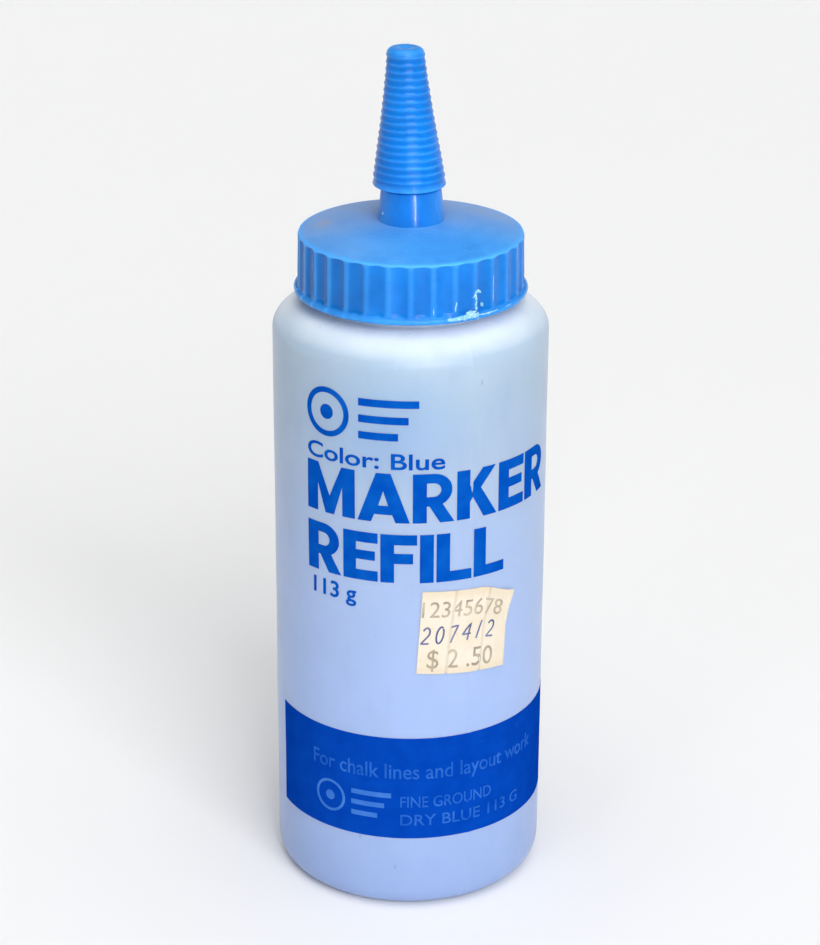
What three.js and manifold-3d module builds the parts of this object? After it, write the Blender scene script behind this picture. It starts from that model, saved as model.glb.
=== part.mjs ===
// Squeeze bottle of marking chalk, with a ribbed spout cap and a push-on tip cap.
// Millimetres, +Z up. The origin is the centre of the bottle's foot, where it stands.

import * as THREE from 'three';
import { mergeVertices } from 'three/addons/utils/BufferGeometryUtils.js';
import Module from 'manifold-3d';

const wasm = await Module();
wasm.setup();

const TURN = 2 * Math.PI;

// Driving dimensions.
const bodyRadius = 24.5;
const wall = 1.1;
const clearance = 0.3; // between pieces that touch on the real object
const roundSides = 48; // facets round the bottle and inside the cap
const slimSides = 24; // facets round the tip cap
const roughArc = 3; // steps in a quarter arc that is small or hidden
const fineArc = 6; // steps in one that shapes the outline

const shoulderZ = 105; // where the straight wall ends
const shoulderWidth = 10; // the neck cuts off its inner part
const shoulderRise = 5.5;
const footRadius = 20.8; // outside of the flat standing ring
const footInnerRadius = 18.4;
const footRise = 4.5; // height of the rounded edge at the base
const footSlope = 2.2; // width of the slope inside the standing ring
const pushUp = 1.8; // how far the middle of the base is raised

const neckRadius = 16.8;
const neckWall = 1.2;
const rimZ = 119.8; // top of the neck

const threadPitch = 4.233; // six turns to the inch
const neckThreadCrest = 17.75;
const capThreadCrest = 17.15;
const threadFootWidth = 1.9;
const threadTopWidth = 0.9;
const threadEmbed = 0.4; // how deep a thread is rooted in its wall
const threadStepsPerTurn = 24;
const threadFade = 0.12; // share of a turn over which a thread's end runs out
const neckThreadTopZ = 118.4;
const neckThreadTurns = 1.25;
const capThreadLead = 0.6; // turns that the cap's thread starts above the neck's
const capThreadTurns = 1.3;

const powderEdgeZ = 85; // level of the chalk at the wall
const powderHeapZ = 87.5; // and in the middle

const gasketThickness = 1;
const gasketInnerRadius = 13.5;

const capBottomZ = 111.85;
const beadRadius = 20.65;
const beadTopZ = 112.9;
const skirtFootRadius = 20;
const skirtTopRadius = 19.85;
const capEdgeZ = 122.4; // where the skirt meets the top
const capEdgeRounding = 0.5;
const domeZ = 124.55; // where the top meets the spout
const capInnerRadius = 18.1;
const capCeilingRadius = 15; // the flat ring that presses the gasket
const capTopWall = 1;
const ribs = 32;
const facetsPerRib = 2;
const fluteDepth = 0.45;
const fluteCutRadius = 3.25;
const fluteSides = 24;
const fluteHeight = 2 * (domeZ - beadTopZ); // runs out through the top edge

const spoutFootRadius = 5.8;
const spoutTopRadius = 5.3;
const spoutTopZ = 130.5;
const spoutFillet = 0.35;
const spoutBoreFoot = 4.5;
const spoutBoreTop = 4.1;
const nozzleFootRadius = 4.6;
const nozzleTopRadius = 2.2;
const nozzleTopZ = 151;
const nozzleBoreFoot = 3.4;
const nozzleBoreTop = 1.3;

const tipRimRadius = 6.4;
const tipRimHeight = 1.9; // plain rim under the rings
const tipRimRounding = 0.5;
const tipFootRadius = 6.22; // lowest ring
const tipTopRadius = 3.28;
const tipTopZ = 155.05;
const tipTopRounding = 1.2;
const tipTaperPower = 1.2; // above 1, the cone is slightly hollow in outline
const tipCeilingZ = 153.5;
const tipRings = 17; // each a step in the cone, with a sloping ledge on top
const tipRingPitch = 1.245;
const tipRingWall = 0.95; // height of a ring below its ledge
const plugRadius = 0.9;
const plugDepth = 1.8; // how far the plug reaches into the nozzle's hole
const dimpleRadius = 0.8;
const dimpleDepth = 0.3;

const labelThickness = 0.15;
const labelGap = 0.1;
const labelBottomZ = 48.6;
const labelTopZ = 64;
const labelLeft = 4.5; // degrees round the wall from the front, towards +X
const labelRight = 46.6;
const labelSteps = 8;

// Profiles are lists of points (radius, height).

function point(radius, z) {
  return new THREE.Vector2(radius, z);
}

// Part of an ellipse, from one angle to the next, in degrees.
function arc(radius, z, width, height, from, to, steps = roughArc) {
  const curve = new THREE.EllipseCurve(
    radius, z, width, height,
    THREE.MathUtils.degToRad(from), THREE.MathUtils.degToRad(to), from > to);
  return curve.getPoints(steps);
}

function mix(a, b, share) {
  return a + (b - a) * share;
}

// The quarter ellipse of the shoulder as far as the neck, in by an inset all round.
function shoulder(inset, neck, steps) {
  const centre = bodyRadius - shoulderWidth;
  const width = shoulderWidth - inset;
  const end = THREE.MathUtils.radToDeg(Math.acos((neck - centre) / width));
  return arc(centre, shoulderZ, width, shoulderRise - inset, 0, end, steps);
}

// Solids: manifold joins and cuts what three.js geometries make.

function solid(geometry) {
  const bare = geometry.clone();
  bare.deleteAttribute('normal');
  bare.deleteAttribute('uv');
  const merged = mergeVertices(bare);
  const corners = merged.index.array;
  const triangles = [];
  for (let i = 0; i < corners.length; i += 3) {
    const [a, b, c] = corners.slice(i, i + 3);
    if (a !== b && b !== c && c !== a) triangles.push(a, b, c);
  }
  return new wasm.Manifold(new wasm.Mesh({
    numProp: 3,
    vertProperties: Float32Array.from(merged.attributes.position.array),
    triVerts: Uint32Array.from(triangles),
  }));
}

// A solid of revolution about Z. Its profile starts and ends on the axis.
function turned(profile, sides = roundSides) {
  return solid(new THREE.LatheGeometry(profile, sides).rotateX(Math.PI / 2));
}

// A helical ridge on a cylindrical wall. It starts at topZ and winds down, right-handed.
function thread(rootRadius, crestRadius, topZ, firstTurn, turns) {
  const outward = Math.sign(crestRadius - rootRadius);
  const height = Math.abs(crestRadius - rootRadius);
  const section = new THREE.Shape([
    point(-outward * threadEmbed, -threadFootWidth / 2),
    point(outward * height, -threadTopWidth / 2),
    point(outward * height, threadTopWidth / 2),
    point(-outward * threadEmbed, threadFootWidth / 2),
  ]);
  const ridge = new THREE.ExtrudeGeometry(section, {
    depth: turns,
    steps: Math.round(turns * threadStepsPerTurn),
    bevelEnabled: false,
  });
  const places = ridge.attributes.position;
  for (let i = 0; i < places.count; i += 1) {
    const along = places.getZ(i);
    const fade = Math.min(1, along / threadFade, (turns - along) / threadFade);
    const stand = places.getX(i) * outward;
    const radius = rootRadius + outward * (stand > 0 ? stand * fade : stand);
    const angle = -(firstTurn + along) * TURN;
    const z = topZ + places.getY(i) - (firstTurn + along) * threadPitch;
    places.setXYZ(i, radius * Math.cos(angle), radius * Math.sin(angle), z);
  }
  return solid(ridge);
}

// The bottle.

function bottleSolid() {
  const cornerWidth = bodyRadius - footRadius;
  const innerRadius = bodyRadius - wall;
  const neckInner = neckRadius - neckWall;
  const profile = [
    point(0, pushUp),
    point(footInnerRadius - footSlope, pushUp),
    point(footInnerRadius, 0),
    ...arc(footRadius, footRise, cornerWidth, footRise, -90, 0, fineArc),
    ...shoulder(0, neckRadius, fineArc),
    point(neckRadius, rimZ),
    point(neckInner, rimZ),
    ...shoulder(wall, neckInner, roughArc).reverse(),
    ...arc(footRadius, footRise, innerRadius - footRadius, footRise - wall, 0, -90),
    point(footInnerRadius, wall),
    point(footInnerRadius - footSlope, pushUp + wall),
    point(0, pushUp + wall),
  ];
  const winding = thread(neckRadius, neckThreadCrest, neckThreadTopZ, 0, neckThreadTurns);
  return turned(profile).add(winding);
}

// The chalk in it, clear of the wall all round.
function powderSolid() {
  const cornerWidth = bodyRadius - wall - footRadius;
  const floorZ = wall + clearance;
  return turned([
    point(0, floorZ + pushUp),
    point(footInnerRadius - footSlope, floorZ + pushUp),
    point(footInnerRadius, floorZ),
    ...arc(footRadius - clearance, footRise, cornerWidth, footRise - floorZ, -90, 0),
    point(bodyRadius - wall - clearance, powderEdgeZ),
    point(0, powderHeapZ),
  ]);
}

// The flat ring between the bottle's rim and the cap.
function gasketSolid() {
  const bottom = rimZ + clearance;
  const top = bottom + gasketThickness;
  const disc = turned([
    point(0, bottom), point(neckRadius, bottom), point(neckRadius, top), point(0, top),
  ]);
  const hole = turned([
    point(0, bottom - clearance),
    point(gasketInnerRadius, bottom - clearance),
    point(gasketInnerRadius, top + clearance),
    point(0, top + clearance),
  ]);
  return disc.subtract(hole);
}

// The spout cap.

function capOutside() {
  const beadHalf = (beadTopZ - capBottomZ) / 2;
  const beadCentre = beadRadius - beadHalf;
  return turned([
    point(0, capBottomZ),
    ...arc(beadCentre, capBottomZ + beadHalf, beadHalf, beadHalf, -90, 60),
    point(skirtFootRadius, beadTopZ),
    point(skirtTopRadius, capEdgeZ - capEdgeRounding),
    point(skirtTopRadius - capEdgeRounding, capEdgeZ),
    point(spoutFootRadius + spoutFillet, domeZ),
    point(spoutFootRadius, domeZ + spoutFillet),
    point(spoutTopRadius, spoutTopZ - spoutFillet),
    point(spoutTopRadius - spoutFillet, spoutTopZ),
    point(nozzleFootRadius, spoutTopZ),
    point(nozzleTopRadius, nozzleTopZ),
    point(0, nozzleTopZ),
  ], ribs * facetsPerRib);
}

function capInside() {
  const ceilingZ = capEdgeZ - capTopWall;
  return turned([
    point(0, capBottomZ - clearance),
    point(capInnerRadius, capBottomZ - clearance),
    point(capInnerRadius, ceilingZ),
    point(capCeilingRadius, ceilingZ),
    point(spoutBoreFoot, domeZ - capTopWall),
    point(spoutBoreTop, spoutTopZ - capTopWall),
    point(nozzleBoreFoot, spoutTopZ + capTopWall),
    point(nozzleBoreTop, nozzleTopZ + clearance),
    point(0, nozzleTopZ + clearance),
  ]);
}

// One cutter for the shallow flute between two ribs, tilted to follow the skirt's taper.
function flute(angle) {
  const lean = Math.atan2(skirtFootRadius - skirtTopRadius, capEdgeZ - beadTopZ);
  const cutter = new THREE.CylinderGeometry(
    fluteCutRadius, fluteCutRadius, fluteHeight, fluteSides);
  cutter.rotateX(Math.PI / 2);
  cutter.translate(fluteCutRadius - fluteDepth, 0, fluteHeight / 2);
  cutter.rotateY(-lean);
  cutter.translate(skirtFootRadius, 0, beadTopZ);
  cutter.rotateZ(angle);
  return solid(cutter);
}

function spoutCapSolid() {
  let cap = capOutside();
  for (let i = 0; i < ribs; i += 1) {
    cap = cap.subtract(flute((i + 0.5) * TURN / ribs));
  }
  const topZ = neckThreadTopZ - threadPitch / 2;
  const winding = thread(capInnerRadius, capThreadCrest, topZ, -capThreadLead, capThreadTurns);
  return cap.subtract(capInside()).add(winding);
}

// The tip cap.

function tipOutside(bottomZ) {
  const ringZ = bottomZ + tipRimHeight;
  const taperHeight = tipTopZ - tipTopRounding - ringZ;
  const profile = [
    point(0, bottomZ),
    ...arc(tipRimRadius - tipRimRounding, bottomZ + tipRimRounding,
      tipRimRounding, tipRimRounding, -90, 0),
    point(tipRimRadius, ringZ - tipRimRounding),
  ];
  for (let i = 0; i < tipRings; i += 1) {
    const rise = i * tipRingPitch;
    const share = (1 - rise / taperHeight) ** tipTaperPower;
    const radius = mix(tipTopRadius, tipFootRadius, share);
    profile.push(point(radius, ringZ + rise));
    profile.push(point(radius, ringZ + rise + tipRingWall));
  }
  profile.push(
    ...arc(tipTopRadius - tipTopRounding, tipTopZ - tipTopRounding,
      tipTopRounding, tipTopRounding, 0, 90),
    point(dimpleRadius, tipTopZ),
    point(0, tipTopZ - dimpleDepth),
  );
  return turned(profile, slimSides);
}

function tipCapSolid() {
  const bottomZ = spoutTopZ + clearance;
  const inside = turned([
    point(0, bottomZ - clearance),
    point(nozzleFootRadius + clearance, bottomZ - clearance),
    point(nozzleTopRadius + clearance, nozzleTopZ),
    point(nozzleTopRadius, tipCeilingZ),
    point(0, tipCeilingZ),
  ], slimSides);
  const plug = turned([
    point(0, nozzleTopZ - plugDepth),
    point(plugRadius, nozzleTopZ - plugDepth + plugRadius / 2),
    point(plugRadius, tipCeilingZ + dimpleDepth),
    point(0, tipCeilingZ + dimpleDepth),
  ], slimSides / 2);
  return tipOutside(bottomZ).subtract(inside).add(plug);
}

// The price sticker: a thin sheet bent round the wall.

function labelSolid() {
  const inner = bodyRadius + labelGap;
  const start = THREE.MathUtils.degToRad(labelLeft - 90);
  const end = THREE.MathUtils.degToRad(labelRight - 90);
  const outline = new THREE.Shape();
  outline.absarc(0, 0, inner + labelThickness, start, end, false);
  outline.absarc(0, 0, inner, end, start, true);
  const sheet = new THREE.ExtrudeGeometry(outline, {
    depth: labelTopZ - labelBottomZ,
    curveSegments: labelSteps,
    bevelEnabled: false,
  });
  return solid(sheet.translate(0, 0, labelBottomZ));
}

// The assembly.

function piece(name, shape, color, roughness) {
  const mesh = shape.getMesh();
  const geometry = new THREE.BufferGeometry();
  geometry.setAttribute('position', new THREE.BufferAttribute(mesh.vertProperties, mesh.numProp));
  geometry.setIndex(new THREE.BufferAttribute(mesh.triVerts, 1));
  geometry.computeVertexNormals();
  const material = new THREE.MeshStandardMaterial({ color, roughness, metalness: 0 });
  const node = new THREE.Mesh(geometry, material);
  node.name = name;
  return node;
}

const object = new THREE.Group();
object.add(
  piece('bottle', bottleSolid(), 0xc4d8ee, 0.45),
  piece('chalk_powder', powderSolid(), 0x2f66d8, 0.95),
  piece('cap_gasket', gasketSolid(), 0xe6e9ec, 0.8),
  piece('spout_cap', spoutCapSolid(), 0x1f7cdc, 0.4),
  piece('tip_cap', tipCapSolid(), 0x1a78d2, 0.4),
  piece('price_label', labelSolid(), 0xf2e4cb, 0.85),
);

export default object;
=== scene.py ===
"""The looks of a squeeze bottle of blue marking chalk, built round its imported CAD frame.

Shapes are in millimetres, +Z up, and become metres when a mesh is made. A point on the round wall is
an azimuth and a height: azimuth 0 is the printed front, towards -Y, and grows towards +X, in degrees.
"""

import math

import bmesh
import bpy
from mathutils import Matrix, Vector, noise


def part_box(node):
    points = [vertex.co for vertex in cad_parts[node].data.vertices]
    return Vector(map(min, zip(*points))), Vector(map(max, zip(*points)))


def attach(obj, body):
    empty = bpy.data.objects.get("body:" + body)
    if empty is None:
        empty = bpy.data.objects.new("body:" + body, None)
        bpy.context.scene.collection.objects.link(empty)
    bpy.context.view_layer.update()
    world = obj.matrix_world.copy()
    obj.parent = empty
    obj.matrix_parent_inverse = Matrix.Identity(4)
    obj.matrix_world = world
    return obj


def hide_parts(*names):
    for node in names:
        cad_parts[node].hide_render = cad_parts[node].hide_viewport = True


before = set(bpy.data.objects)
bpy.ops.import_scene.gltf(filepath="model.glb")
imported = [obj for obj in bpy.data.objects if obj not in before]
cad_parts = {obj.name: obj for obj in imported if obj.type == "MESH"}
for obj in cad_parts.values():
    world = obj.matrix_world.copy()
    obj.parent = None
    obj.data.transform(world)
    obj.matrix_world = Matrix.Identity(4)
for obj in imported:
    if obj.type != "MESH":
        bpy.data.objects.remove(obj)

noise.seed_set(1)  # without it noise_vector takes its seed from the clock

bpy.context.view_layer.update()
MM = 0.001
FAR = 1e6  # a stretch that takes an axis out of a pattern


def corners(node):
    """A CAD node's lowest and highest corners, in millimetres."""
    low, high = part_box(node)
    return low / MM, high / MM


BOTTLE_BOX = corners("bottle")
CAP_BOX = corners("spout_cap")
TIP_BOX = corners("tip_cap")
GASKET_BOX = corners("cap_gasket")
POWDER_BOX = corners("chalk_powder")
LABEL_BOX = corners("price_label")

# The bottle.
BODY_R = BOTTLE_BOX[1].x
RIM_Z = BOTTLE_BOX[1].z
WALL = 1.1
SHOULDER_Z = RIM_Z - 14.8
SHOULDER_WIDTH = 10  # the neck cuts off its inner part
SHOULDER_RISE = 5.5
FOOT_R = BODY_R - 3.7
FOOT_INNER_R = BODY_R - 6.1
FOOT_RISE = 4.5
FOOT_SLOPE = 2.2
PUSH_UP = 1.8
NECK_R = BODY_R - 7.7
NECK_WALL = 1.2
NECK_FILLET = 0.6
WAVE = 0.07  # how far the blown wall wanders in and out
WAVE_SIZE = 24
SEAM = 26  # azimuth of the mould's parting line, which is on the far side too
SEAM_HEIGHT = 0.09
SEAM_WIDTH = 0.28
POWDER_EDGE_Z = POWDER_BOX[1].z - 2.5
BARE_AND_PAINTED_LIGHT_Z = (106.5, 110)  # over these heights the wall turns to its bare white, partly painted light that lifts the shade under the cap
NICKS = ((-5.6, 8.8), (-21, 14.4), (30, 102))  # azimuths and heights of dark nicks in the wall

# The screw threads.
PITCH = 4.233
THREAD_FOOT = 1.9
THREAD_TOP = 0.9
THREAD_HEIGHT = 0.95
THREAD_FADE = 0.12
NECK_THREAD_Z = RIM_Z - 1.4
NECK_THREAD_TURNS = 1.25
CAP_THREAD_LEAD = 0.6
CAP_THREAD_TURNS = 1.3

# The gasket and the spout cap.
GASKET_INNER_R = 13.5
CAP_Z = CAP_BOX[0].z
BEAD_R = CAP_BOX[1].x
BEAD_TOP_Z = CAP_Z + 1.05
SKIRT_FOOT_R = BEAD_R - 0.65
SKIRT_TOP_R = BEAD_R - 0.8
CAP_EDGE_Z = CAP_Z + 10.55
CAP_EDGE_ROUND = 0.5
DOME_Z = CAP_Z + 12.7
CAP_INNER_R = BODY_R - 6.4
CAP_CEILING_R = 15
CAP_TOP_WALL = 1
RIBS = 32
SAMPLES_PER_RIB = 12
FLUTE_DEPTH = 0.5
FLUTE_CUT_R = 3.25
FLUTE_FOOT_Z = BEAD_TOP_Z + 0.05
FLUTE_TOP_Z = CAP_EDGE_Z - 0.12
FLUTE_TOP_SHARE = 0.35  # share of its depth that a flute keeps through the top edge
FLUTE_RUN = 0.5  # height over which a flute's foot and top run out
FLUTE_ARCH = 0.7  # how far both ends of a flute draw in at its sides
SPOUT_FOOT_R = 5.8
SPOUT_TOP_R = 5.3
SPOUT_FILLET = 0.35
SPOUT_ROUND = 0.3  # radius of the corners at the top of the spout and of the nozzle
SPOUT_TOP_Z = TIP_BOX[0].z - 0.3
SPOUT_BORE_FOOT = 4.5
SPOUT_BORE_TOP = 4.1
NOZZLE_FOOT_R = 4.6
NOZZLE_TOP_R = 2.2
NOZZLE_TOP_Z = CAP_BOX[1].z
NOZZLE_BORE_FOOT = 3.4
NOZZLE_BORE_TOP = 1.3

# Runs of dried crumbs on the bead and up the ribs: azimuth and height of the start and of the end, then
# how far in it lies, its width and its roughness.
CRUST = (
    (BEAD_TOP_Z - 0.4, BEAD_R - 0.15, (
        (17.8, 0.1, 25.5, 0.2, 0, 0.36, 0.35),
        (24, 0.3, 34.6, 0.3, 0, 0.46, 0.35),
        (28, 0.8, 33, 0.8, 0.3, 0.3, 0.35),
        (33.6, 0.4, 34.2, -0.5, 0, 0.34, 0.35),
        (34.5, 0.2, 47, 0.1, 0, 0.15, 0.35),
        (46, 0.1, 58, 0.2, 0, 0.08, 0.35))),
    (BEAD_TOP_Z, SKIRT_FOOT_R - 0.05, (
        (22.3, 0.2, 22.9, 2.6, 0, 0.12, 0.8),
        (33.7, 0.3, 33.9, 3.4, 0, 0.2, 0.8),
        (32.6, 2.9, 34.2, 4, 0, 0.3, 0.8),
        (33.8, 4, 36.8, 3.6, 0.1, 0.24, 0.8),
        (37.4, 1.6, 38.3, 0.9, 0.25, 0.2, 0.8),
        (45, 0.8, 45, 6.2, 0, 0.05, 0.35),
        (11.3, 0.3, 11.2, 2, 0, 0.07, 0.35))),
)

# The tip cap.
TIP_Z = TIP_BOX[0].z
TIP_TOP_Z = TIP_BOX[1].z
TIP_RIM_R = TIP_BOX[1].x
TIP_RIM_HEIGHT = 1.9
TIP_FOOT_R = TIP_RIM_R - 0.18
TIP_TOP_R = 3.28
TIP_TOP_ROUND = 1.2
TIP_DIMPLE = ((1.3, 0.02), (0.8, 0.12), (0.5, 0.34), (0, 0.36))  # radii and depths
TIP_TAPER_POWER = 1.2
TIP_RIDGES = 18
TIP_RIDGE_PITCH = 1.245
ROWS_PER_RIDGE = 14
TIP_RIDGE_STAND = 0.12
TIP_RIDGE_HALF = 0.24
TIP_RIDGE_Z = TIP_Z + TIP_RIM_HEIGHT - 0.05  # middle of the lowest
TIP_CEILING_Z = TIP_TOP_Z - 1.55
TIP_CLEARANCE = 0.3
TIP_LEAN = math.radians(-1.8)  # the tip was pushed on slightly askew
TIP_SHIFT = -0.32
PLUG_R = 0.9
PLUG_Z = NOZZLE_TOP_Z - 1.8

# The print.
INK_SINK = 0.03  # how deep the ink sits in the wall
INK_STAND = 0.05
PRINT_STEP = 1.2  # longest facet of the print round the wall
HEADING_ROWS = (("MARKER", 77.2), ("REFILL", 65.8))  # words and the heights of their feet
HEADING_LEFT = -46.5
HEADING_HEIGHT = 9.15
HEADING_STRETCH = 1.082
LETTER_GAP = 0.05
STEM = 0.245  # width of an upright stroke, against the letters' height
BAR = 0.21  # thickness of a level stroke
BAND_LOW_Z = 14.9
BAND_HIGH_Z = 35.25
BAND_LEFT = -68
BAND_RIGHT = 115

# The sticker.
LABEL_LEFT = (2.9, 5.4)  # azimuths of its left edge at the foot and at the top
LABEL_RIGHT = (42.6, 43.8, 47.4)  # and of its right edge at the foot, where it tore, and at the top
LABEL_TEAR = 0.55  # share of its height
LABEL_CREASES = (0.34, 0.71)  # shares of its width
LABEL_THICK = 0.13
LABEL_WIDTH = BODY_R * math.radians(40)
LABEL_HEIGHT = LABEL_BOX[1].z - LABEL_BOX[0].z
PEN_WIDTH = 1.75
PEN_HEIGHT = 3.2
PEN_SLANT = 0.25
PEN_STEP = 0.144  # from one figure to the next, as a share of the sticker's width


# Outlines and meshes.


def around(azimuth, radius, z):
    """The point at an azimuth, a radius and a height."""
    angle = math.radians(azimuth)
    return Vector((radius * math.sin(angle), -radius * math.cos(angle), z))


def azimuth_of(place):
    return math.degrees(math.atan2(place.x, -place.y))


def mix(a, b, share):
    return a + (b - a) * share


def clamp(value, low=0, high=1):
    return max(low, min(high, value))


def smooth(value):
    """0 to 1 with a gentle start and end."""
    share = clamp(value)
    return share * share * (3 - 2 * share)


def spaced(start, end, steps):
    """Numbers from start to end, both included."""
    return [mix(start, end, i / steps) for i in range(steps + 1)]


def arc(x, y, width, height, start, end, steps):
    """Points along part of an ellipse, from one angle to another."""
    angles = [math.radians(a) for a in spaced(start, end, steps)]
    return [(x + width * math.cos(a), y + height * math.sin(a)) for a in angles]


def rounded(x, y, radius, start, end, steps):
    """Points along part of a circle."""
    return arc(x, y, radius, radius, start, end, steps)


def line(start, end, steps):
    """Points from start to end, both included."""
    return list(zip(*(spaced(a, b, steps) for a, b in zip(start, end))))


def even(count):
    """Azimuths of an even round."""
    return [360 * i / count for i in range(count)]


def placed(name, data):
    """A new object in the scene."""
    made = bpy.data.objects.new(name, data)
    bpy.context.scene.collection.objects.link(made)
    return made


def piece(name, points, faces, sharp=35):
    """A mesh object from points in millimetres, with its faces turned outwards."""
    mesh = bpy.data.meshes.new(name)
    mesh.from_pydata([Vector(p) * MM for p in points], [], faces)
    shell = bmesh.new()
    shell.from_mesh(mesh)
    bmesh.ops.recalc_face_normals(shell, faces=shell.faces)
    shell.to_mesh(mesh)
    shell.free()
    mesh.shade_smooth()
    mesh.set_sharp_from_angle(angle=math.radians(sharp))
    return placed(name, mesh)


def revolve(name, profile, azimuths, shape=around, sharp=35):
    """A solid of revolution. Its profile of (radius, z) runs from axis to axis or closes on itself."""
    points = []
    rows = []
    for radius, z in profile:
        if radius == 0:
            rows.append([len(points)] * len(azimuths))
            points.append(shape(0, 0, z))
        else:
            rows.append(list(range(len(points), len(points) + len(azimuths))))
            points.extend(shape(azimuth, radius, z) for azimuth in azimuths)
    followers = rows[1:] if profile[0][0] == 0 else rows[1:] + rows[:1]
    faces = []
    for low, high in zip(rows, followers):
        for a in range(len(azimuths)):
            b = (a + 1) % len(azimuths)
            faces.append(list(dict.fromkeys([low[a], low[b], high[b], high[a]])))
    return piece(name, points, faces, sharp)


def slab(name, outer, inner, sharp=35):
    """A thin closed plate between two grids of points, each a list of rows."""
    rows = len(outer)
    columns = len(outer[0])
    count = rows * columns
    points = [p for row in outer for p in row] + [p for row in inner for p in row]
    faces = []
    for i in range(rows - 1):
        for j in range(columns - 1):
            a = i * columns + j
            quad = [a, a + 1, a + columns + 1, a + columns]
            faces.append(quad)
            faces.append([count + k for k in reversed(quad)])
    rim = list(range(columns))
    rim += [i * columns + columns - 1 for i in range(1, rows)]
    rim += [(rows - 1) * columns + j for j in range(columns - 2, -1, -1)]
    rim += [i * columns for i in range(rows - 2, 0, -1)]
    for a, b in zip(rim, rim[1:] + rim[:1]):
        faces.append([b, a, count + a, count + b])
    return piece(name, points, faces, sharp)


def tube_mesh(path, widths, outwards, flatness, sides=8):
    """Points and faces of a closed tube with its own width at each point of its path."""
    points = []
    for i, place in enumerate(path):
        ahead = (path[min(i + 1, len(path) - 1)] - path[max(i - 1, 0)]).normalized()
        across = ahead.cross(outwards[i]).normalized()
        for k in range(sides):
            angle = 2 * math.pi * k / sides
            side = across * math.cos(angle) + outwards[i] * math.sin(angle) * flatness
            points.append(place + side * widths[i])
    faces = [list(range(sides)), list(range(len(points) - sides, len(points)))]
    for i in range(len(path) - 1):
        for k in range(sides):
            a = i * sides + k
            b = i * sides + (k + 1) % sides
            faces.append([a, b, b + sides, a + sides])
    return points, faces


def joined(name, parts, sharp=35):
    """One object from several lists of points and faces."""
    points = []
    faces = []
    for part_points, part_faces in parts:
        start = len(points)
        points.extend(part_points)
        faces.extend([start + k for k in face] for face in part_faces)
    return piece(name, points, faces, sharp)


def paint(made, name, rule):
    """Stores rule(point in millimetres) at each vertex, for the material to read."""
    values = [rule(v.co / MM) for v in made.data.vertices]
    made.data.attributes.new(name, "FLOAT", "POINT").data.foreach_set("value", values)


def settle(made, body, slot, material, *nodes):
    """Gives a piece its body and its finish, and hides the CAD nodes that it stands for."""
    made.data.materials.append(material)
    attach(made, body)
    if nodes:
        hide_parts(*nodes)


# Materials.


def color(code):
    """The linear colour of an sRGB code such as #1f7cdc."""
    parts = [int(code[i:i + 2], 16) / 255 for i in (1, 3, 5)]
    return [((p + 0.055) / 1.055) ** 2.4 if p > 0.04045 else p / 12.92 for p in parts] + [1]


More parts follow.
